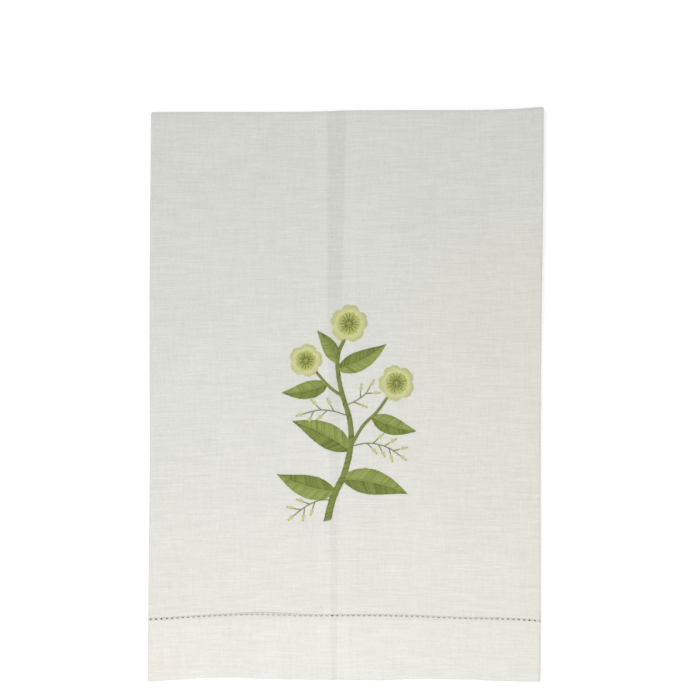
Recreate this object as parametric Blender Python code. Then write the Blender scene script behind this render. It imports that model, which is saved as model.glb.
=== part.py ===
"""A linen hand towel, folded in four and lying face up.

The towel is one sheet of cloth. Both long sides are folded back so that their edges nearly
meet behind the face, and the strip that this gives is folded in half crosswise, so the far
hem lies under the near one. From the top down the four layers are the face, the face's two
flaps, the back's two flaps and the back, which rests on the table.

Metres, +Z up. The face looks up, +Y runs from the hem to the crosswise fold, and the origin
is under the middle of the folded towel, on the surface that it lies on.
"""

from math import cos, pi, sin

import bmesh
import bpy
from mathutils import Vector

MM = 0.001

# The sheet, flat and hemmed.
TOWEL_WIDTH = 381 * MM
TOWEL_LENGTH = 558.8 * MM
CLOTH = 1.0 * MM
LAYER_GAP = 0.4 * MM

# The folded towel, measured over its outer faces.
FACE_WIDTH = 192 * MM
FACE_LENGTH = 279.4 * MM
HEM_DEPTH = 31.2 * MM

# A side fold turns its flap's middle surface down by two of these radii, and the crosswise
# fold turns the face's middle surface down to the back's by two of its own.
SIDE_RADIUS = (CLOTH + LAYER_GAP) / 2
CROSS_RADIUS = 2 * SIDE_RADIUS + (CLOTH + LAYER_GAP) / 2
SIDE_AT = FACE_WIDTH / 2 - SIDE_RADIUS - CLOTH / 2
CROSS_AT = FACE_LENGTH - CROSS_RADIUS - CLOTH / 2
SIDE_TURN = pi * SIDE_RADIUS
CROSS_TURN = pi * CROSS_RADIUS

# How far each flap reaches in from its side fold's outer edge, at places along the flat
# towel: the gap between the flaps is a wedge, widest near the crosswise fold.
#             along  left  right
FLAP_REACH = (
    (0.0, 89.6, 99.8),
    (279.4, 86.8, 96.2),
    (558.8, 88.0, 97.6),
)
LEFT = 1
RIGHT = 2

# The unevenness of the pressed outline: how far the hem's edge, the hemstitched line and the
# crosswise fold lie above their straight lines, across the face.
#           across   hem  hemstitch  fold
END_EDGES = (
    (-96, -0.8, -1.5, -0.55),
    (-72, 0.8, -0.2, -0.5),
    (-48, 1.2, 0.75, -0.5),
    (-24, 0.2, 0.3, -0.4),
    (0, 0.0, 0.35, 0.2),
    (24, -0.15, 0.15, 0.4),
    (48, 0.4, -0.65, 0.4),
    (72, -0.25, -1.1, 0.55),
    (96, -0.8, -2.2, 2.05),
)
# The same for the side folds, from the hem up: how far each lies to the right of straight.
#             up    left  right
SIDE_EDGES = (
    (0, -0.9, -0.2),
    (50, -0.5, -0.1),
    (110, 0.15, -0.15),
    (170, 0.0, 0.2),
    (225, 0.3, 1.1),
    (280, 0.75, 1.45),
)

# How finely the flat sheet is divided before it is folded.
FACE_COLUMNS = 16
FLAP_COLUMNS = 4
SIDE_TURN_STEPS = 6
HEM_ROWS = 3
FACE_ROWS = 11
CROSS_TURN_STEPS = 8
ON_PLANE = 0.0001 * MM


def between(rows, at, column):
    """The value of a table's column at a place, in metres, straight between its rows."""
    at = min(max(at, rows[0][0] * MM), rows[-1][0] * MM)
    for low, high in zip(rows, rows[1:]):
        if at <= high[0] * MM:
            share = (at - low[0] * MM) / ((high[0] - low[0]) * MM)
            return (low[column] + (high[column] - low[column]) * share) * MM


def flap_length(column, along):
    """The flat length of a flap past its fold's half turn, at a place along the towel."""
    return between(FLAP_REACH, along, column) - SIDE_RADIUS - CLOTH / 2


def steps(start, end, count):
    """Places from start up to but not including end, evenly spaced."""
    return [start + (end - start) * i / count for i in range(count)]


def cuts_across():
    """Where the flat sheet is divided across its width, from its left edge to its right."""
    turn_end = SIDE_AT + SIDE_TURN
    left_edge = -turn_end - flap_length(LEFT, 0)
    right_edge = turn_end + flap_length(RIGHT, 0)
    places = (
        steps(left_edge, -turn_end, FLAP_COLUMNS)
        + steps(-turn_end, -SIDE_AT, SIDE_TURN_STEPS)
        + steps(-SIDE_AT, SIDE_AT, FACE_COLUMNS)
        + steps(SIDE_AT, turn_end, SIDE_TURN_STEPS)
        + steps(turn_end, right_edge, FLAP_COLUMNS)
    )
    return places + [right_edge]


def cuts_along():
    """Where the flat sheet is divided along its length, from one hemmed end to the other."""
    turn_end = CROSS_AT + CROSS_TURN
    far_hem = TOWEL_LENGTH - HEM_DEPTH
    places = (
        steps(0, HEM_DEPTH, HEM_ROWS)
        + steps(HEM_DEPTH, CROSS_AT, FACE_ROWS)
        + steps(CROSS_AT, turn_end, CROSS_TURN_STEPS)
        + steps(turn_end, far_hem, FACE_ROWS)
        + steps(far_hem, TOWEL_LENGTH, HEM_ROWS)
    )
    return places + [TOWEL_LENGTH]


def fold_side(point):
    """Turns what lies past a side fold back under the face."""
    across, along, height = point
    side = 1 if across > 0 else -1
    past = abs(across) - SIDE_AT
    if past <= 0:
        return point
    if past < SIDE_TURN:
        angle = past / SIDE_RADIUS
        reach = SIDE_RADIUS + height
        return Vector((side * (SIDE_AT + reach * sin(angle)), along, reach * cos(angle) - SIDE_RADIUS))
    # The flap's length follows the table, which makes the gap between the two flaps a wedge.
    column = RIGHT if side > 0 else LEFT
    stretch = flap_length(column, along) / flap_length(column, 0)
    out = SIDE_AT - (past - SIDE_TURN) * stretch
    return Vector((side * out, along, -2 * SIDE_RADIUS - height))


def fold_across(point):
    """Turns what lies past the crosswise fold back under the rest."""
    across, along, height = point
    past = along - CROSS_AT
    if past <= 0:
        return point
    if past < CROSS_TURN:
        angle = past / CROSS_RADIUS
        reach = CROSS_RADIUS + height
        return Vector((across, CROSS_AT + reach * sin(angle), reach * cos(angle) - CROSS_RADIUS))
    return Vector((across, CROSS_AT - (past - CROSS_TURN), -2 * CROSS_RADIUS - height))


def press_uneven(point):
    """Moves the outline, the hemstitched line and all between them as far as the tables say."""
    across, up, height = point
    hem, line, fold = (between(END_EDGES, across, column) for column in (1, 2, 3))
    if up < HEM_DEPTH:
        rise = hem + (line - hem) * max(up, 0) / HEM_DEPTH
    else:
        rise = line + (fold - line) * (up - HEM_DEPTH) / (FACE_LENGTH - HEM_DEPTH)
    left, right = between(SIDE_EDGES, up, LEFT), between(SIDE_EDGES, up, RIGHT)
    shift = left + (right - left) * (across / FACE_WIDTH + 0.5)
    return Vector((across + shift, up + rise, height))


def flat_sheet():
    """The hemmed sheet, flat, with its middle surface at height 0, divided for folding."""
    across = cuts_across()
    along = cuts_along()
    size = (across[-1] - across[0], along[-1] - along[0], CLOTH)
    middle = ((across[-1] + across[0]) / 2, (along[-1] + along[0]) / 2, 0)
    sheet = bmesh.new()
    bmesh.ops.create_cube(sheet, size=1)
    bmesh.ops.scale(sheet, vec=size, verts=sheet.verts)
    bmesh.ops.translate(sheet, vec=middle, verts=sheet.verts)
    for place in across[1:-1]:
        divide(sheet, (place, 0, 0), (1, 0, 0))
    for place in along[1:-1]:
        divide(sheet, (0, place, 0), (0, 1, 0))
    return sheet


def divide(sheet, point, direction):
    """Adds the edges where a plane crosses the sheet, and takes nothing away."""
    everything = sheet.verts[:] + sheet.edges[:] + sheet.faces[:]
    bmesh.ops.bisect_plane(sheet, geom=everything, plane_co=point, plane_no=direction, dist=ON_PLANE)


def set_on_origin(sheet):
    """Puts the lowest point at height 0 and the middle of the outline over the origin."""
    places = [vert.co for vert in sheet.verts]
    low = Vector(min(place[axis] for place in places) for axis in range(3))
    high = Vector(max(place[axis] for place in places) for axis in range(3))
    middle = (low + high) / 2
    bmesh.ops.translate(sheet, vec=(-middle.x, -middle.y, -low.z), verts=sheet.verts)


def linen():
    """White linen, plain and matt."""
    material = bpy.data.materials.new("linen")
    material.use_nodes = True
    shader = material.node_tree.nodes["Principled BSDF"]
    shader.inputs["Base Color"].default_value = (0.80, 0.80, 0.74, 1)
    shader.inputs["Roughness"].default_value = 0.9
    shader.inputs["Metallic"].default_value = 0.0
    return material


def make_towel():
    sheet = flat_sheet()
    for vert in sheet.verts:
        vert.co = press_uneven(fold_across(fold_side(vert.co)))
    set_on_origin(sheet)
    mesh = bpy.data.meshes.new("towel")
    sheet.to_mesh(mesh)
    sheet.free()
    mesh.materials.append(linen())
    mesh.shade_smooth()
    mesh.set_sharp_from_angle(angle=pi / 4)
    towel = bpy.data.objects.new("towel", mesh)
    bpy.context.scene.collection.objects.link(towel)


for thing in list(bpy.data.objects):
    bpy.data.objects.remove(thing)
make_towel()
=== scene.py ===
from math import cos, exp, pi, radians, sin
from random import Random

import bmesh
import bpy
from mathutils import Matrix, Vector


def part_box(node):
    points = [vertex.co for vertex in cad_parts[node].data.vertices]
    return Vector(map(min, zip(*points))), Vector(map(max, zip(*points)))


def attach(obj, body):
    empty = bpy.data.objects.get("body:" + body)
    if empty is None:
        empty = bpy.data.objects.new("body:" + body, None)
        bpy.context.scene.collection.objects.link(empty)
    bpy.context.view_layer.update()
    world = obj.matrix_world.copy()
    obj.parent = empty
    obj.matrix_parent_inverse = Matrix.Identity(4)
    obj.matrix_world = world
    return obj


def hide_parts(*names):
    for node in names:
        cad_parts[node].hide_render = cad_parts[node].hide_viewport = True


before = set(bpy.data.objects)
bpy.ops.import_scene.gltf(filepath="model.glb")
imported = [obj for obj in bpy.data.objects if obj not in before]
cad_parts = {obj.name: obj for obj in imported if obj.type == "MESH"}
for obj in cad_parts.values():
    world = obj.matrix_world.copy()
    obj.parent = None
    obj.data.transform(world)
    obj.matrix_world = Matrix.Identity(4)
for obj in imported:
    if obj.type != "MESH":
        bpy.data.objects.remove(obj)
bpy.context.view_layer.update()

# The camera looks straight down at the face through a long lens, with the hem nearest. It
# stands a little right of the towel's middle and further up it, so more floor shows there.
MM = 0.001
VIEW_WIDTH = 344 * MM
VIEW_AT = (2.1 * MM, 21.7 * MM)
CAMERA_HEIGHT = 2.0
SENSOR = 36

camera = bpy.data.objects.new("camera", bpy.data.cameras.new("camera"))
camera.data.sensor_width = SENSOR
camera.data.lens = SENSOR * CAMERA_HEIGHT / VIEW_WIDTH
camera.location = (*VIEW_AT, CAMERA_HEIGHT)
bpy.context.scene.collection.objects.link(camera)
bpy.context.scene.camera = camera


# The cloth is one length of white plain-weave linen. Each end has a deep hem, turned to the
# back and stitched down along a line of drawn threads. The towel is pressed in four: its long
# sides are folded behind the face, and the strip is doubled so that one hem lies on the other.
SHEET_LENGTH = 558.8 * MM
PLY = 0.36 * MM
FACE_WIDTH = 192 * MM
FACE_LENGTH = 279.4 * MM
SIDE_RADIUS = 0.7 * MM
CROSS_RADIUS = 2.1 * MM
HEM_RADIUS = 0.21 * MM
SIDE_AT = FACE_WIDTH / 2 - SIDE_RADIUS - PLY / 2
CROSS_AT = FACE_LENGTH - CROSS_RADIUS - PLY / 2
HEM_AT = HEM_RADIUS + PLY / 2
SIDE_TURN = pi * SIDE_RADIUS
CROSS_TURN = pi * CROSS_RADIUS
HEM_TURN = pi * HEM_RADIUS
HEM_UNDER = 29.6 * MM
DRAWN_FROM = 31.0 * MM
DRAWN_TO = 32.05 * MM
PULLED_OPEN = 0.75 * MM
PULLED_AT = -38 * MM
PULLED_WIDTH = 16 * MM
GRID = 3 * MM
EDGE_GRID = 0.3 * MM
# Each layer's hem stops this much short of the one above it, counted over the towel's whole
# thickness: a length away from the side folds, and a share of the distance from them.
HEM_LAG = 4.2 * MM
SKEW = 0.03

# How far each flap reaches in from its fold, at places along the sheet.
#             along  left  right
FLAP_REACH = (
    (0.0, 89.6, 99.8),
    (279.4, 86.8, 96.2),
    (558.8, 88.0, 97.6),
)
# How far the hem's edge, the drawn line and the crosswise fold lie above straight.
#           across   hem  drawn  fold
END_EDGES = (
    (-96, -0.8, -1.5, -0.55),
    (-84, -0.1, -0.9, -0.5),
    (-68, 1.0, 0.05, -0.5),
    (-52, 1.25, 0.75, -0.5),
    (-39, 0.45, 0.8, -0.5),
    (-24, 0.2, 0.3, -0.45),
    (-10, 0.0, 0.2, -0.15),
    (2, -0.05, 0.4, 0.3),
    (19, -0.2, 0.3, 0.4),
    (33, 0.5, 0.05, 0.4),
    (49, 0.35, -0.7, 0.4),
    (63, 0.1, -1.15, 0.42),
    (76, -0.5, -1.25, 0.75),
    (86, -0.7, -1.6, 1.25),
    (96, -0.8, -2.2, 2.05),
)
# How far each side fold lies to the right of straight, from the hem up.
#              up   left  right
SIDE_EDGES = (
    (0, -0.9, -0.2),
    (50, -0.5, -0.1),
    (110, 0.2, -0.15),
    (150, 0.0, 0.0),
    (190, 0.0, 0.5),
    (230, 0.3, 1.1),
    (280, 0.75, 1.45),
)
LEFT = 1
RIGHT = 2


def between(rows, at, column):
    """A table's value at a place, in metres, eased from each row to the next."""
    at = min(max(at, rows[0][0] * MM), rows[-1][0] * MM)
    for low, high in zip(rows, rows[1:]):
        if at <= high[0] * MM:
            share = (at - low[0] * MM) / ((high[0] - low[0]) * MM)
            return (low[column] + (high[column] - low[column]) * share) * MM


def eased(value, start, end):
    """0 up to start, 1 from end on, and a smooth rise between them."""
    share = min(max((value - start) / (end - start), 0), 1)
    return share * share * (3 - 2 * share)


def pulled_open(across):
    """How much farther the drawn line is pulled open: most in one stretch left of the middle."""
    return PULLED_OPEN * exp(-((across - PULLED_AT) / PULLED_WIDTH) ** 2)


def flap_length(column, along):
    return between(FLAP_REACH, along, column) - SIDE_RADIUS - PLY / 2


def turn_hem(point):
    """Turns what lies past a hem's edge back behind the sheet."""
    across, along, height = point
    near = along < SHEET_LENGTH / 2
    from_end = along if near else SHEET_LENGTH - along
    past = HEM_AT - from_end
    if past <= 0:
        return point
    if past < HEM_TURN:
        from_end = HEM_AT - HEM_RADIUS * sin(past / HEM_RADIUS)
        height = HEM_RADIUS * cos(past / HEM_RADIUS) - HEM_RADIUS
    else:
        from_end = HEM_AT + past - HEM_TURN
        height = -2 * HEM_RADIUS
    return Vector((across, from_end if near else SHEET_LENGTH - from_end, height))


def fold_side(point):
    """Turns what lies past a side fold back under the face."""
    across, along, height = point
    side = 1 if across > 0 else -1
    past = abs(across) - SIDE_AT
    if past <= 0:
        return point
    if past < SIDE_TURN:
        angle = past / SIDE_RADIUS
        reach = SIDE_RADIUS + height
        return Vector((side * (SIDE_AT + reach * sin(angle)), along, reach * cos(angle) - SIDE_RADIUS))
    column = RIGHT if side > 0 else LEFT
    stretch = flap_length(column, along) / flap_length(column, 0)
    out = SIDE_AT - (past - SIDE_TURN) * stretch
    return Vector((side * out, along, -2 * SIDE_RADIUS - height))


def fold_across(point):
    """Turns what lies past the crosswise fold back under the rest."""
    across, along, height = point
    past = along - CROSS_AT
    if past <= 0:
        return point
    if past < CROSS_TURN:
        angle = past / CROSS_RADIUS
        reach = CROSS_RADIUS + height
        return Vector((across, CROSS_AT + reach * sin(angle), reach * cos(angle) - CROSS_RADIUS))
    return Vector((across, CROSS_AT - (past - CROSS_TURN), -2 * CROSS_RADIUS - height))


def press(point):
    """Gives the folded cloth its uneven outline, and lets its middle lie flatter than its folds."""
    across, up, height = point
    depth = max(-height - PLY, 0) / (2 * CROSS_RADIUS - PLY)
    hem, drawn, fold = (between(END_EDGES, across, column) for column in (1, 2, 3))
    if up < DRAWN_FROM:
        rise = hem + (drawn - hem) * max(up, 0) / DRAWN_FROM
    else:
        rise = drawn + (fold - drawn) * (up - DRAWN_FROM) / (FACE_LENGTH - DRAWN_FROM)
    left, right = between(SIDE_EDGES, up, LEFT), between(SIDE_EDGES, up, RIGHT)
    shift = left + (right - left) * (across / FACE_WIDTH + 0.5)
    from_side = FACE_WIDTH / 2 - abs(across)
    lag = depth * (HEM_LAG * eased(from_side, 0, 16 * MM) + SKEW * from_side)
    lag *= eased(150 * MM - up, 0, 100 * MM)
    middle = eased(from_side, 1 * MM, 22 * MM) * eased(FACE_LENGTH - up, 2 * MM, 26 * MM)
    past_hem = eased(up, DRAWN_FROM - 0.4 * MM, DRAWN_FROM + 0.8 * MM)
    ripple = (
        sin(across / (17 * MM) + 1.1) * sin(up / (31 * MM) + across / (60 * MM))
        + 0.6 * sin(across / (29 * MM) - up / (23 * MM) + 0.7)
    )
    thickness = 1 - middle * (0.12 + 0.18 * past_hem) + 0.05 * ripple
    height = (height + 2 * CROSS_RADIUS) * thickness + PLY / 2
    return Vector((across + shift, up + rise + lag, height))


def flat_lines(start, end):
    """Grid lines over a flat stretch, with one close to each end, which keeps its shading flat."""
    count = max(1, round((end - start) / GRID))
    inner = [start + (end - start) * i / count for i in range(1, count)]
    return [start, start + EDGE_GRID, *inner, end - EDGE_GRID]


def turn_lines(start, end, count):
    """Grid lines over a fold's half turn."""
    return [start + (end - start) * i / count for i in range(count)]


side_turn_end = SIDE_AT + SIDE_TURN
left_edge = -side_turn_end - flap_length(LEFT, 0)
right_edge = side_turn_end + flap_length(RIGHT, 0)
across_lines = (
    flat_lines(left_edge, -side_turn_end)
    + turn_lines(-side_turn_end, -SIDE_AT, 8)
    + flat_lines(-SIDE_AT, SIDE_AT)
    + turn_lines(SIDE_AT, side_turn_end, 8)
    + flat_lines(side_turn_end, right_edge)
    + [right_edge]
)
under_edge = HEM_AT - HEM_TURN - HEM_UNDER
far_hem_at = SHEET_LENGTH - HEM_AT
along_lines = (
    flat_lines(under_edge, HEM_AT - HEM_TURN)
    + turn_lines(HEM_AT - HEM_TURN, HEM_AT, 6)
    + flat_lines(HEM_AT, DRAWN_FROM)
    + [DRAWN_FROM]
    + flat_lines(DRAWN_TO, CROSS_AT)
    + turn_lines(CROSS_AT, CROSS_AT + CROSS_TURN, 12)
    + flat_lines(CROSS_AT + CROSS_TURN, SHEET_LENGTH - DRAWN_TO)
    + [SHEET_LENGTH - DRAWN_TO]
    + flat_lines(SHEET_LENGTH - DRAWN_FROM, far_hem_at)
    + turn_lines(far_hem_at, far_hem_at + HEM_TURN, 6)
    + flat_lines(far_hem_at + HEM_TURN, SHEET_LENGTH - under_edge)
    + [SHEET_LENGTH - under_edge]
)
cut_width = across_lines[-1] - across_lines[0]
cut_length = along_lines[-1] - along_lines[0]

sheet = bmesh.new()
bmesh.ops.create_grid(
    sheet, x_segments=len(across_lines) - 1, y_segments=len(along_lines) - 1, size=0.5, calc_uvs=True
)
flat_map = sheet.loops.layers.uv.verify()
for vert in sheet.verts:
    column = round((vert.co.x + 0.5) * (len(across_lines) - 1))
    row = round((vert.co.y + 0.5) * (len(along_lines) - 1))
    place = Vector((across_lines[column], along_lines[row], 0))
    past_slot = place.y - DRAWN_TO
    if past_slot > -0.01 * MM:
        place.y += pulled_open(place.x) * (1 - eased(past_slot, 0, 8 * MM))
    vert.co = place
for face in sheet.faces:
    for loop in face.loops:
        flat = loop.vert.co
        loop[flat_map].uv = (
            (flat.x - across_lines[0]) / cut_width,
            (flat.y - along_lines[0]) / cut_length,
        )


def in_drawn_line(face):
    along = face.calc_center_median().y
    return DRAWN_FROM < min(along, SHEET_LENGTH - along) < DRAWN_TO


drawn = [face for face in sheet.faces if in_drawn_line(face)]
bmesh.ops.delete(sheet, geom=drawn, context="FACES")
for vert in sheet.verts:
    vert.co = press(fold_across(fold_side(turn_hem(vert.co))))
cad_low, cad_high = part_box("towel")
low = Vector(min(vert.co[axis] for vert in sheet.verts) for axis in range(3))
high = Vector(max(vert.co[axis] for vert in sheet.verts) for axis in range(3))
set_down = (cad_low + cad_high - low - high) / 2
set_down.z = 0
bmesh.ops.translate(sheet, vec=set_down, verts=sheet.verts)
mesh = bpy.data.meshes.new("towel_cloth")
sheet.to_mesh(mesh)
sheet.free()
mesh.uv_layers[0].name = "flat"
surface = bpy.data.objects.new("surface", mesh)
bpy.context.scene.collection.objects.link(surface)
ply = surface.modifiers.new("ply", "SOLIDIFY")
ply.thickness = PLY
ply.offset = 0
# The cut edges stay crisp: only what turns by less than this between faces is shaded smooth.
CRISP = radians(50)
solid = surface.evaluated_get(bpy.context.evaluated_depsgraph_get())
mesh = bpy.data.meshes.new_from_object(solid)
bpy.data.objects.remove(surface)
mesh.name = "towel_cloth"
mesh.shade_smooth()
mesh.set_sharp_from_angle(angle=CRISP)
cloth = bpy.data.objects.new("towel_cloth", mesh)
bpy.context.scene.collection.objects.link(cloth)


def opaque(colour):
    return colour if isinstance(colour, Shade) else (*colour, 1)


class Shade:
    """One socket of a material's nodes. Sums written with these add the nodes that work them out."""

    def __init__(self, tree, socket=None):
        self.tree = tree
        self.socket = socket

    def node(self, kind, settings=None, values=None, output=0):
        """Adds a node: its settings first, then the values or links of its sockets."""
        made = self.tree.nodes.new(kind)
        for name, value in (settings or {}).items():
            setattr(made, name, value)
        for name, value in (values or {}).items():
            if isinstance(value, Shade):
                self.tree.links.new(value.socket, made.inputs[name])
            else:
                made.inputs[name].default_value = value
        return Shade(self.tree, made.outputs[output])

    def feed(self, shader, name):
        self.tree.links.new(self.socket, shader.inputs[name])

    def math(self, operation, *values):
        return self.node("ShaderNodeMath", {"operation": operation}, dict(enumerate(values)))

    def __add__(self, other):
        return self.math("ADD", self, other)

    def __radd__(self, other):
        return self.math("ADD", other, self)

    def __sub__(self, other):
        return self.math("SUBTRACT", self, other)

    def __rsub__(self, other):
        return self.math("SUBTRACT", other, self)

    def __mul__(self, other):
        return self.math("MULTIPLY", self, other)

    def __rmul__(self, other):
        return self.math("MULTIPLY", other, self)

    def __truediv__(self, other):
        return self.math("DIVIDE", self, other)

    def __abs__(self):
        return self.math("ABSOLUTE", self)

    def sine(self):
        return self.math("SINE", self)

    def floor(self):
        return self.math("FLOOR", self)

    def rise(self, start, end, low=0.0, high=1.0, way="SMOOTHSTEP"):
        """Goes from low to high as this goes from start to end, and stays there."""
        settings = {"interpolation_type": way}
        values = {"Value": self, "From Min": start, "From Max": end, "To Min": low, "To Max": high}
        return self.node("ShaderNodeMapRange", settings, values)

    def noise(self, across, along, detail):
        """Soft noise from 0 to 1, with grains of about one of these units each way."""
        place = self.node("ShaderNodeCombineXYZ", {}, {0: across, 1: along})
        settings = {"noise_dimensions": "2D"}
        return self.node("ShaderNodeTexNoise", settings, {"Vector": place, "Scale": 1.0, "Detail": detail})

    def share_of(self, colour):
        """A colour times this number."""
        return self.node("ShaderNodeVectorMath", {"operation": "SCALE"}, {0: colour, "Scale": self})

    def tinted(self, amount, colour, other):
        """A colour mixed with another by an amount from 0 to 1."""
        values = {0: amount, 6: opaque(colour), 7: opaque(other)}
        return self.node("ShaderNodeMix", {"data_type": "RGBA"}, values, output=2)


def new_material(name, roughness):
    """A material, its shader, and the start of its nodes."""
    material = bpy.data.materials.new(name)
    material.use_nodes = True
    shader = material.node_tree.nodes["Principled BSDF"]
    shader.inputs["Roughness"].default_value = roughness
    shader.inputs["Specular IOR Level"].default_value = 0.25
    return material, shader, Shade(material.node_tree)


THREAD_PITCH = 0.522
FOLD_AT = FACE_LENGTH / MM
WHITE_LINEN = (0.665, 0.665, 0.634)
WARM_LINEN = (0.675, 0.665, 0.60)
BLUSH_LINEN = (0.71, 0.675, 0.635)

linen, shader, start = new_material("white_linen", 0.88)
flat = start.node("ShaderNodeUVMap", {"uv_map": "flat"})
# The flat sheet's own millimetres, across from the face's middle and along from the hem.
size = (cut_width / MM, cut_length / MM, 1)
corner = (across_lines[0] / MM, along_lines[0] / MM, 0)
place = start.node("ShaderNodeVectorMath", {"operation": "MULTIPLY_ADD"}, {0: flat, 1: size, 2: corner})
across = place.node("ShaderNodeSeparateXYZ", {}, {0: place}, output=0)
along = place.node("ShaderNodeSeparateXYZ", {}, {0: place}, output=1)

# Uneven yarns: each crosswise and lengthwise yarn is thick and thin along its own length, and
# some have slubs.
weft_yarn = (along / THREAD_PITCH).floor()
warp_yarn = (across / THREAD_PITCH).floor()
weft = start.noise(across / 16, weft_yarn * 3.7, 4)
warp = start.noise(warp_yarn * 3.7, along / 14, 4)
weft_lumps = start.noise(across / 1.1, weft_yarn * 2.9, 0)
warp_lumps = start.noise(warp_yarn * 2.9, along / 1.1, 0)
weft_slubs = start.noise(across / 6, weft_yarn * 5.3, 0).rise(0.74, 0.86)
warp_slubs = start.noise(warp_yarn * 5.3, along / 6, 0).rise(0.76, 0.88)
cloudy = start.noise(across / 26, along / 34, 2)
# The weave: each yarn rounded, over one and under one, with a pinhole at each corner.
warp_wave = (across * (pi / THREAD_PITCH)).sine()
weft_wave = (along * (pi / THREAD_PITCH)).sine()
warp_over = (warp_wave * weft_wave).rise(-0.25, 0.25)
weave = abs(warp_wave) * warp_over + abs(weft_wave) * (1 - warp_over)
# Painted shade: each pinhole is painted darker in the colour.
pinhole_shade = (1 - abs(warp_wave)) * (1 - abs(weft_wave))
weft_shade = 0.30 * (weft - 0.5) + 0.14 * (weft_lumps - 0.5) + 0.09 * weft_slubs
warp_shade = 0.20 * (warp - 0.5) + 0.10 * (warp_lumps - 0.5) + 0.06 * warp_slubs
yarns = warp_shade * warp_over + weft_shade * (1 - warp_over)
# Painted see-through shade and light: the face is painted darker over the gap between the flaps'
# edges, and lighter over the flaps' narrow hems.
from_end = FOLD_AT - abs(along - FOLD_AT)
past_fold = along.rise(FOLD_AT, 2 * FOLD_AT, 0, 1, "LINEAR")
gap_left = along.rise(0, FOLD_AT, -6.4, -10.0, "LINEAR") + 2.0 * past_fold
gap_right = along.rise(0, FOLD_AT, -3.6, -0.6, "LINEAR") - 1.0 * past_fold
past_left = across - gap_left
past_right = across - gap_right
gap_shade = past_left.rise(-0.4, 0.5) * past_right.rise(-1.0, 0.7, 1, 0)
left_hem_light = past_left.rise(-6.6, -5.8) * past_left.rise(-0.5, 0.6, 1, 0)
right_hem_light = past_right.rise(-0.6, 0.5) * past_right.rise(5.8, 6.6, 1, 0)
# Painted light: the face is also painted a little lighter over the hem's double ply.
hem = from_end.rise(30.3, 31.0, 1, 0)


def yarn_slub(at, low, high):
    """One long slub that stands out in a crosswise yarn."""
    return (
        abs(along - at).rise(0.2, 0.4, 1, 0)
        * across.rise(low, low + 2)
        * across.rise(high - 2, high, 1, 0)
    )


#   along, from, to
LONG_SLUBS = (
    (169.3, -12.0, 1.2),
    (205.2, 30.0, 44.0),
    (118.7, -66.0, -52.0),
    (22.6, 52.0, 61.0),
    (11.4, 20.0, 33.0),
)
slubs = sum(yarn_slub(*row) for row in LONG_SLUBS)
shade = (
    1.0
    + yarns
    + 0.06 * (weft - 0.5)
    + 0.05 * slubs
    + 0.03 * (cloudy - 0.5)
    # painted shade: the yarns' rounded flanks a little darker than their crowns
    + 0.03 * (weave - 0.5)
    # painted shade in each pinhole
    - 0.08 * pinhole_shade
    # painted shade over the gap between the flaps
    - 0.065 * gap_shade * from_end.rise(0, FOLD_AT, 0.75, 1.0)
    # painted light over the flaps' narrow hems
    + 0.01 * (left_hem_light + right_hem_light)
    # painted light over the hem's double ply
    + 0.02 * hem
)
warmth = across.rise(10, 95) * from_end.rise(250, 170) * 0.7
blush = across.rise(-96, -58, 1, 0) * from_end.rise(0, 62, 1, 0) * 0.8
colour = start.tinted(warmth, WHITE_LINEN, WARM_LINEN)
colour = start.tinted(blush, colour, BLUSH_LINEN)
shade.share_of(colour).feed(shader, "Base Color")
height = weave + yarns * 3 + slubs * 0.4
bump = start.node("ShaderNodeBump", {}, {"Strength": 0.5, "Distance": 0.12 * MM, "Height": height})
bump.feed(shader, "Normal")
cloth.data.materials.append(linen)
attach(cloth, "root")
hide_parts("towel")


# Above each hem the crosswise threads are drawn out for a few rows. The lengthwise threads
# that are left stand bare across the slot, and a fine white thread ties them into bundles at
# the hem's edge, so that they fan out to the cloth above and leave a row of small holes.
BUNDLE = 5
BUNDLE_PITCH = BUNDLE * THREAD_PITCH * MM
BARE_THREAD = 0.42 * MM
TIED_PITCH = 0.17 * MM
WRAP_THREAD = 0.26 * MM


def on_towel(across, along, height):
    """Where a place on the flat sheet lies on the folded towel, that far above mid-cloth."""
    place = press(fold_across(fold_side(Vector((across, along, height))))) + set_down
    # Under the towel its weight presses the stitches into the cloth.
    place.z = max(place.z, BARE_THREAD / 2)
    return place


def sewn(name, strands, thickness):
    """One piece made of many threads, each a list of the places it goes through."""
    curve = bpy.data.curves.new(name, "CURVE")
    curve.dimensions = "3D"
    curve.bevel_depth = thickness / 2
    curve.bevel_resolution = 1
    curve.use_fill_caps = True
    for strand in strands:
        spline = curve.splines.new("POLY")
        spline.points.add(len(strand) - 1)
        for point, place in zip(spline.points, strand):
            point.co = (*place, 1)
    drawn = bpy.data.objects.new(name, curve)
    mesh = bpy.data.meshes.new_from_object(drawn)
    bpy.data.objects.remove(drawn)
    bpy.data.curves.remove(curve)
    mesh.name = name
    mesh.shade_smooth()
    piece = bpy.data.objects.new(name, mesh)
    bpy.context.scene.collection.objects.link(piece)
    return piece


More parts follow.
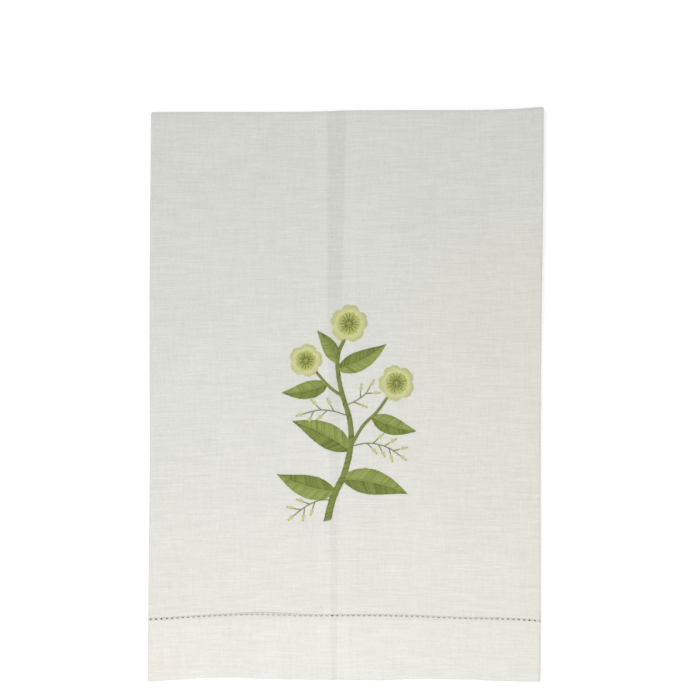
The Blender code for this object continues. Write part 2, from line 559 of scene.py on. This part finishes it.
def bare_bundle(across, end):
    """The lengthwise threads of one bundle, from inside the hem to the cloth above."""
    top = DRAWN_TO + (pulled_open(across) if end is near_end else 0)
    tied = DRAWN_FROM + 0.3 * MM + 0.7 * (top - DRAWN_TO)
    #   along, share of the full spread, height
    steps = (
        (DRAWN_FROM - 0.5 * MM, 0.0, 0.0),
        (DRAWN_FROM + 0.1 * MM, 0.0, 0.12),
        (tied, 0.08, 0.12),
        (tied + 0.4 * MM, 0.8, 0.08),
        (top, 1.0, 0.04),
        (top + 0.5 * MM, 1.0, 0.0),
        (top + 1.4 * MM, 1.0, -0.22),
    )
    strands = []
    for number in range(BUNDLE):
        out = number - (BUNDLE - 1) / 2
        over = 0.09 if number % 2 else -0.06
        strand = []
        for along, spread, lift in steps:
            gathered = TIED_PITCH + (THREAD_PITCH * MM - TIED_PITCH) * spread
            height = lift * MM + over * MM * (1 - spread)
            strand.append(on_towel(across + out * gathered, end(along), height))
        strands.append(strand)
    return strands


def tie(across, end):
    """The stitch that goes round a bundle's foot and slants into the hem beside it."""
    loop = []
    for turn in range(9):
        angle = radians(200 + 40 * turn)
        side = 0.6 * MM * cos(angle)
        loop.append(on_towel(across + side, end(DRAWN_FROM + 0.14 * MM), (0.12 + 0.36 * sin(angle)) * MM))
    #   beside the bundle, below the hem's edge, height
    into_hem = ((-0.75, 0.0, 0.3), (-1.0, -0.5, 0.32), (-1.25, -1.0, 0.28), (-1.3, -1.15, 0.05))
    for beside_it, below, height in into_hem:
        loop.append(on_towel(across + beside_it * MM, end(DRAWN_FROM + below * MM), height * MM))
    return loop


def near_end(along):
    return along


def far_end(along):
    return SHEET_LENGTH - along


threads, ties = [], []
for end in (near_end, far_end):
    bundle_at = across_lines[0] + BUNDLE_PITCH / 2
    while bundle_at < across_lines[-1]:
        threads += bare_bundle(bundle_at, end)
        ties.append(tie(bundle_at, end))
        bundle_at += BUNDLE_PITCH
bare_threads = sewn("bare_threads", threads, BARE_THREAD)
hem_ties = sewn("hem_ties", ties, WRAP_THREAD)
for piece, slot in ((bare_threads, "linen"), (hem_ties, "hem_thread")):
    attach(piece, "root")


def thread_material(name, colour, fuzz, roughness=0.6):
    """Spun thread: soft patches of lighter and darker fibre, and a fibrous surface."""
    material, shader, start = new_material(name, roughness)
    place = start.node("ShaderNodeTexCoord", output=3)
    patches = place.node("ShaderNodeTexNoise", {}, {"Vector": place, "Scale": 300.0, "Detail": 1.0})
    fibres = place.node("ShaderNodeTexNoise", {}, {"Vector": place, "Scale": 4000.0, "Detail": 1.0})
    shade = 1.0 + fuzz * (patches - 0.5) + fuzz * (fibres - 0.5)
    shade.share_of(colour).feed(shader, "Base Color")
    bump = start.node("ShaderNodeBump", {}, {"Strength": 0.4, "Distance": 0.1 * MM, "Height": fibres})
    bump.feed(shader, "Normal")
    return material


bare_threads.data.materials.append(thread_material("bare_linen", WHITE_LINEN, 0.06, 0.85))
hem_ties.data.materials.append(thread_material("hem_thread", (0.74, 0.735, 0.67), 0.05, 0.7))


# A flowering spray is worked through the face in stranded cotton. Its thick stems are slanted
# satin stitches side by side. Thin ones are rows of stem stitch: short slanted stitches, each
# starting beside the middle of the one before it.
SPRAY_AT = (0.7, 131.4)
FLOSS = 0.44 * MM
KNOT_FLOSS = 0.46 * MM
skeins = {name: [] for name in ("leaf_light", "leaf_mid", "leaf_dark", "stem", "lime", "cream", "knot")}
random = Random(22)


def worked(x, y, height):
    """A place in the spray, in millimetres from its middle and above the cloth's face."""
    return on_towel((SPRAY_AT[0] + x) * MM, (SPRAY_AT[1] + y) * MM, PLY / 2 + height * MM)


def through(points, spacing=0.5):
    """A smooth path through points, as evenly spaced places in millimetres."""
    points = [Vector(point) for point in points]
    ends = [2 * points[0] - points[1]] + points + [2 * points[-1] - points[-2]]
    fine = []
    for before, low, high, after in zip(ends, ends[1:], ends[2:], ends[3:]):
        for step in range(40):
            share = step / 40
            bend = (2 * before - 5 * low + 4 * high - after) * share ** 2
            twist = (3 * low - before - 3 * high + after) * share ** 3
            fine.append((2 * low + (high - before) * share + bend + twist) / 2)
    path = [fine[0]]
    for place in fine:
        if (place - path[-1]).length >= spacing:
            path.append(place)
    return path


def beside(path, run, offset):
    """The place that far along a path, moved to its left by an offset."""
    spacing = (path[1] - path[0]).length
    index = min(max(run / spacing, 0), len(path) - 1.001)
    low, high = path[int(index)], path[int(index) + 1]
    ahead = (high - low).normalized()
    return low + (high - low) * (index % 1) + Vector((-ahead.y, ahead.x)) * offset


def stem_row(skein, path, start=0.0, end=1.0, offset=0.0, stitch=2.4, lift=0.3):
    """A row of stem stitch along part of a path."""
    length = (len(path) - 1) * (path[1] - path[0]).length
    run = start * length
    while run < end * length - stitch / 2:
        wobble = random.uniform(-0.05, 0.05)
        strand = []
        for share, height in ((0, -0.1), (0.15, 0.7), (0.5, 1.0), (0.85, 0.7), (1, -0.1)):
            spot = beside(path, run + share * stitch, offset + wobble + 0.22 * (share - 0.5))
            strand.append(worked(*spot, height * lift))
        skeins[skein].append(strand)
        run += stitch * 0.5


def satin_stem(path, width, tip_width, pitch=0.3, slant=0.9):
    """A thick stem: slanted satin stitches packed side by side, a little uneven at the edges."""
    length = (len(path) - 1) * (path[1] - path[0]).length
    run = slant
    while run < length - slant:
        half = (width + (tip_width - width) * run / length) / 2
        near = beside(path, run - slant, half * random.uniform(0.88, 1.08))
        far = beside(path, run + slant, -half * random.uniform(0.88, 1.08))
        strand = []
        for way, height in ((0, -0.2), (0.14, 0.55), (0.5, 1.0), (0.86, 0.55), (1, -0.2)):
            strand.append(worked(*near.lerp(far, way), height * 0.4 * half + 0.15 if height > 0 else height))
        skeins[random.choice(("stem", "stem", "leaf_mid", "leaf_dark"))].append(strand)
        run += pitch * random.uniform(0.85, 1.15)


#   width at the start, width at the end, then the places that the stem goes through
STEMS = (
    (3.6, 1.6, (
        (-9.5, -54), (-6.5, -42), (-1, -30), (2, -16), (1.5, -4), (-2.5, 10), (-4.5, 22), (-4, 29), (-0.5, 37),
    )),
    (1.5, 1.2, ((1.8, -17.5), (8, -7), (15, 0), (21, 8.5))),
    (1.4, 1.1, ((-1.0, 7), (-8, 12), (-16, 21))),
)
for width, tip_width, points in STEMS:
    satin_stem(through(points), width, tip_width)


# Each leaf is satin stitch in two halves: stitches lie side by side from the midrib to the
# edge, slanting to the tip, in two or three greens. A light line of stem stitch marks the rib.
LEAF_STITCH_PITCH = 0.36
#   base x, base y, direction, length, width, bend, which half is lighter
LEAVES = (
    (-5.5, -39, 168, 30, 11.5, -22, 1),
    (-2.0, -33, -8, 33, 12.5, -24, 1),
    (1.5, -19, 148, 32, 12.0, 24, -1),
    (12.5, -2.5, -22, 23, 9.0, 24, 1),
    (-9.5, 14, 196, 23, 8.5, -26, -1),
    (-4.5, 21, 22, 27, 9.5, 26, -1),
    (-4.5, 24, 118, 19, 7.0, 22, 1),
)


def leaf_width(share):
    """A leaf's width along it, as a share of its widest: a round base and a drawn-out tip."""
    return 3.66 * share ** 0.75 * (1 - share) ** 1.2


def leaf(x, y, direction, length, width, bend, lit):
    midrib = [Vector((x, y))]
    pieces = round(length / 0.5)
    for step in range(pieces):
        heading = radians(direction + bend * (step / pieces - 0.3))
        midrib.append(midrib[-1] + 0.5 * Vector((cos(heading), sin(heading))))
    for half in (1, -1):
        run = 0.4
        while run < length - 0.3:
            share = run / length
            reach = min(share + 0.17 * (1 - share) * eased(share, -0.05, 0.2), 0.995)
            edge = half * width / 2 * leaf_width(reach) * random.uniform(0.965, 1.03)
            inner = beside(midrib, run, half * 0.1)
            outer = beside(midrib, reach * length, edge)
            plump = 0.3 + 0.55 * leaf_width(share)
            strand = []
            for way, height in ((0, -0.15), (0.12, 0.45), (0.4, 0.95), (0.75, 0.85), (0.95, 0.35), (1, -0.2)):
                strand.append(worked(*inner.lerp(outer, way), height * plump if height > 0 else height))
            chance = random.random()
            usual, other = ("leaf_light", "leaf_mid") if half == lit else ("leaf_mid", "leaf_dark")
            skeins[usual if chance < 0.68 else other].append(strand)
            run += LEAF_STITCH_PITCH * random.uniform(0.9, 1.1)
    stem_row("leaf_light", midrib, 0.0, 0.9, stitch=2.2, lift=0.5)


for row in LEAVES:
    leaf(*row)


# Open blossoms have five petals of long and short stitch, lime at the heart and cream at the
# edge, with a ring of fine straight stitches and French knots over them.
#   middle x, middle y, radius, turn
BLOSSOMS = (
    (1.0, 43.2, 9.6, 12),
    (24.5, 14.0, 9.2, 40),
    (-20.0, 25.5, 8.4, 5),
)


def knot(x, y, size=1.0, skein="knot"):
    """A French knot: the thread wound twice round the needle, with its end through the middle."""
    start = random.uniform(0, 360)
    strand = [worked(x, y, -0.2)]
    for step in range(12):
        angle = radians(start + step * 60)
        reach = size * (0.38 - 0.006 * step)
        height = 0.2 + 0.035 * step
        strand.append(worked(x + reach * cos(angle), y + reach * sin(angle), height))
    strand.append(worked(x, y, 0.5))
    skeins[skein].append(strand)


def petal(x, y, radius, middle):
    """Radial stitches, every other one starting farther out, within a round-edged petal."""
    spread = 35
    stitches = round(2 * radians(spread) * radius * 0.72 / 0.36)
    for number in range(stitches + 1):
        share = 2 * number / stitches - 1
        angle = radians(middle + spread * share)
        out = radius * (1 - 0.2 * abs(share) ** 3 - 0.06 * exp(-((share / 0.16) ** 2)))
        out *= random.uniform(0.975, 1.015)
        step_in = 0.18 * radius if number % 2 else 0.36 * radius
        change = radius * random.uniform(0.5, 0.62)
        ways = Vector((cos(angle), sin(angle)))
        for skein, low, high, top in (("lime", step_in, change + 0.5, 0.5), ("cream", change - 0.4, out, 0.55)):
            strand = []
            for way, height in ((0, -0.15), (0.15, 0.7), (0.5, 1.0), (0.85, 0.8), (1, -0.15)):
                spot = Vector((x, y)) + ways * (low + (high - low) * way)
                strand.append(worked(*spot, height * top if height > 0 else height))
            skeins[skein].append(strand)


def blossom(x, y, radius, turn):
    for number in range(5):
        petal(x, y, radius, turn + 72 * number)
    for number in range(15):
        angle = radians(turn + 24 * number + random.uniform(-5, 5))
        reach = radius * random.uniform(0.42, 0.56)
        strand = []
        for way, height in ((0.1, 0.45), (0.4, 0.85), (0.8, 0.85), (1, 0.5)):
            strand.append(worked(x + reach * way * cos(angle), y + reach * way * sin(angle), height))
        skeins["stem"].append(strand)
        knot(x + reach * cos(angle), y + reach * sin(angle), 0.85)
    knot(x, y, 1.1)
    for number in range(6):
        angle = radians(turn + 60 * number)
        knot(x + 1.05 * cos(angle), y + 1.05 * sin(angle), 1.0)


for row in BLOSSOMS:
    blossom(*row)


# Between the leaves are sprays of buds: a thin stalk with short side stalks, each with a bud
# of a few satin stitches and a knot at its tip.
#   buds, then the places that the stalk goes through
BUD_SPRAYS = (
    (7, ((2, -17), (11, -15.5), (20, -17.5), (27, -22))),
    (4, ((-1.2, 3), (4, 5), (9, 8.5), (12, 13))),
    (6, ((-7, -43), (-14, -43.5), (-21, -47), (-26, -51))),
    (5, ((0.5, -2), (-7, 0.5), (-14, 1), (-22, -1))),
)


def bud(base, direction, length):
    ahead = Vector((cos(direction), sin(direction)))
    aside = Vector((-ahead.y, ahead.x))
    for number in range(5):
        out = (number - 2) / 2
        strand = []
        for way, height in ((0, -0.1), (0.3, 0.5), (0.7, 0.55), (1, -0.1)):
            spot = base + ahead * length * way * (1 - 0.12 * abs(out))
            spot += aside * out * 0.75 * sin(pi * way ** 0.8)
            strand.append(worked(*spot, height))
        skeins["lime" if number % 2 else "cream"].append(strand)
    knot(*(base + ahead * (length + 0.3)), 0.8)


def bud_spray(buds, points):
    stalk = through(points)
    stem_row("stem", stalk, stitch=2.2, lift=0.35)
    length = (len(stalk) - 1) * (stalk[1] - stalk[0]).length
    for number in range(buds - 1):
        run = length * (0.3 + 0.62 * number / (buds - 1))
        side = 1 if number % 2 else -1
        base = beside(stalk, run, 0)
        ahead = beside(stalk, run + 1, 0) - base
        tip = base + (ahead.normalized() + side * Vector((-ahead.y, ahead.x)).normalized() * 1.1) * 2.6
        side_stalk = through((base, base.lerp(tip, 0.5) + ahead * 0.15, tip))
        stem_row("stem", side_stalk, stitch=1.8, lift=0.3)
        direction = (tip - base).to_2d()
        bud(tip, Vector((1, 0)).angle_signed(direction) * -1, 2.7)
    ahead = stalk[-1] - stalk[-3]
    bud(stalk[-1], Vector((1, 0)).angle_signed(ahead) * -1, 3.0)


for buds, points in BUD_SPRAYS:
    bud_spray(buds, points)

#  skein: colour, thickness, slot
COTTONS = {
    "leaf_light": ((0.28, 0.345, 0.095), FLOSS, "leaf_thread"),
    "leaf_mid": ((0.195, 0.25, 0.055), FLOSS, "leaf_thread"),
    "leaf_dark": ((0.125, 0.17, 0.032), FLOSS, "leaf_thread"),
    "stem": ((0.20, 0.24, 0.065), 0.4 * MM, "stem_thread"),
    "lime": ((0.42, 0.46, 0.15), 0.4 * MM, "petal_thread"),
    "cream": ((0.62, 0.62, 0.33), 0.4 * MM, "petal_thread"),
    "knot": ((0.50, 0.47, 0.10), KNOT_FLOSS, "knot_thread"),
}
for name, (colour, thickness, slot) in COTTONS.items():
    piece = sewn(f"embroidery_{name}", skeins[name], thickness)
    piece.data.materials.append(thread_material(f"cotton_{name}", colour, 0.16, 0.5))
    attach(piece, "root")


# A plain pale floor that glows faintly, a pale surround that lights it evenly, and two soft
# lamps: a near one over the hem, and a far one up on the left that shows the stitches.
floor_plan = bmesh.new()
bmesh.ops.create_grid(floor_plan, x_segments=1, y_segments=1, size=3)
floor_mesh = bpy.data.meshes.new("floor")
floor_plan.to_mesh(floor_mesh)
floor_plan.free()
floor = bpy.data.objects.new("floor", floor_mesh)
bpy.context.scene.collection.objects.link(floor)
paper, shader, start = new_material("pale_floor", 0.9)
shader.inputs["Base Color"].default_value = (0.95, 0.95, 0.95, 1)
shader.inputs["Emission Color"].default_value = (1, 1, 1, 1)
shader.inputs["Emission Strength"].default_value = 0.22
floor_mesh.materials.append(paper)

surround = bpy.data.worlds.new("surround")
surround.use_nodes = True
surround.node_tree.nodes["Background"].inputs["Color"].default_value = (1, 1, 1, 1)
surround.node_tree.nodes["Background"].inputs["Strength"].default_value = 0.75
bpy.context.scene.world = surround
bpy.context.scene.view_settings.view_transform = "Standard"

#   name, place, where on the floor it points, size, watts, colour
LAMPS = (
    ("hem_lamp", (-0.02, -0.2, 0.35), (-0.02, -0.2), 0.3, 0.63, (1.0, 0.985, 0.93)),
    ("stitch_lamp", (-1.2, 0.9, 1.9), (0, 0), 0.5, 8.0, (1.0, 1.0, 1.0)),
)
for name, place, aim, size, watts, colour in LAMPS:
    lamp = bpy.data.objects.new(name, bpy.data.lights.new(name, "AREA"))
    lamp.data.shape = "DISK"
    lamp.data.size = size
    lamp.data.energy = watts
    lamp.data.color = colour
    lamp.location = place
    lamp.rotation_euler = (Vector((*aim, 0)) - Vector(place)).to_track_quat("-Z", "Y").to_euler()
    bpy.context.scene.collection.objects.link(lamp)
